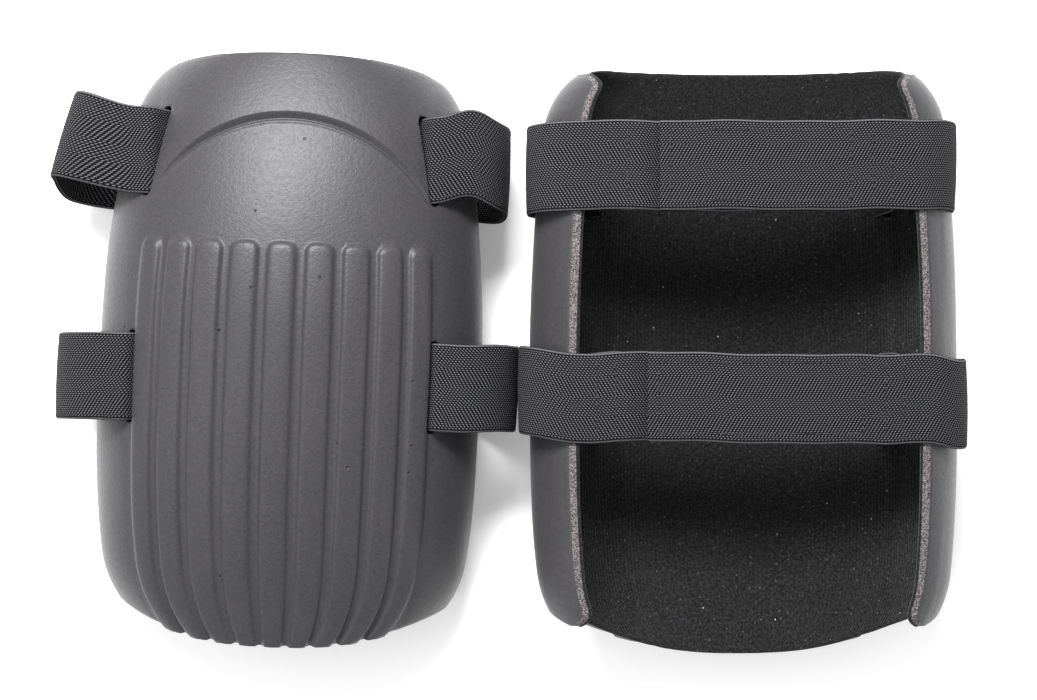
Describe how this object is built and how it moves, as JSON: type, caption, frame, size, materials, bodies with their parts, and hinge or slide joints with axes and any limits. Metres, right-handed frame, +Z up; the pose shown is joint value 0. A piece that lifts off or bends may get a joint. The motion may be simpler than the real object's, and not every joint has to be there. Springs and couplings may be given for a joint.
{
  "type": "pair of knee pads",
  "caption": "Moulded foam knee pads with a ribbed, domed front, a brushed lining and elastic straps that close behind the knee with hook and loop tape; one lies dome up, one cavity up.",
  "frame": {"origin": "middle of the rectangle that the pair covers, on the surface it lies on", "axes": "+X across both pads, +Y towards the pads' top ends, +Z up from the surface"},
  "size_m": [0.3684, 0.2452, 0.0754],
  "materials": {
    "foam": "satin moulded closed-cell foam",
    "lining": "brushed knit",
    "elastic": "woven elastic",
    "hook": "hook tape",
    "loop": "loop tape",
    "thread": "polyester thread"
  },
  "bodies": {
    "right_pad": {"right_foam_shell": "foam", "right_lining": "lining", "right_upper_anchor_elastic": "elastic", "right_upper_anchor_stitching": "thread", "right_upper_loop_elastic": "elastic", "right_upper_loop_anchor_stitching": "thread", "right_upper_loop_tape": "loop", "right_upper_loop_stitching": "thread", "right_lower_anchor_elastic": "elastic", "right_lower_anchor_stitching": "thread", "right_lower_loop_elastic": "elastic", "right_lower_loop_anchor_stitching": "thread", "right_lower_loop_tape": "loop", "right_lower_loop_stitching": "thread"},
    "left_pad": {"left_foam_shell": "foam", "left_lining": "lining", "left_upper_anchor_elastic": "elastic", "left_upper_anchor_stitching": "thread", "left_upper_loop_elastic": "elastic", "left_upper_loop_anchor_stitching": "thread", "left_upper_loop_tape": "loop", "left_upper_loop_stitching": "thread", "left_lower_anchor_elastic": "elastic", "left_lower_anchor_stitching": "thread", "left_lower_loop_elastic": "elastic", "left_lower_loop_anchor_stitching": "thread", "left_lower_loop_tape": "loop", "left_lower_loop_stitching": "thread"},
    "right_upper_flap": {"right_upper_flap_elastic": "elastic", "right_upper_hook_tape": "hook", "right_upper_hook_stitching": "thread"},
    "right_lower_flap": {"right_lower_flap_elastic": "elastic", "right_lower_hook_tape": "hook", "right_lower_hook_stitching": "thread"},
    "left_upper_flap": {"left_upper_flap_elastic": "elastic", "left_upper_hook_tape": "hook", "left_upper_hook_stitching": "thread"},
    "left_lower_flap": {"left_lower_flap_elastic": "elastic", "left_lower_hook_tape": "hook", "left_lower_hook_stitching": "thread"}
  },
  "joints": [
    {"name": "left_pad_lift", "type": "slide", "parent": "right_pad", "child": "left_pad", "axis": [0, 0, 1], "range_m": [0, 0.15]},
    {"name": "right_upper_flap_peel", "type": "hinge", "parent": "right_pad", "child": "right_upper_flap", "pos_m": [0.13701, 0.07494, 0.07482], "axis": [0, 1, 0], "range_deg": [0, 100]},
    {"name": "right_lower_flap_peel", "type": "hinge", "parent": "right_pad", "child": "right_lower_flap", "pos_m": [0.14169, -0.01576, 0.07482], "axis": [0, 1, 0], "range_deg": [0, 100]},
    {"name": "left_upper_flap_peel", "type": "hinge", "parent": "left_pad", "child": "left_upper_flap", "pos_m": [-0.12083, 0.08223, 0.0008], "axis": [0.0401, 0.9992, 0], "range_deg": [0, 100]},
    {"name": "left_lower_flap_peel", "type": "hinge", "parent": "left_pad", "child": "left_lower_flap", "pos_m": [-0.13282, -0.00806, 0.0008], "axis": [0.0401, 0.9992, 0], "range_deg": [0, 100]}
  ]
}
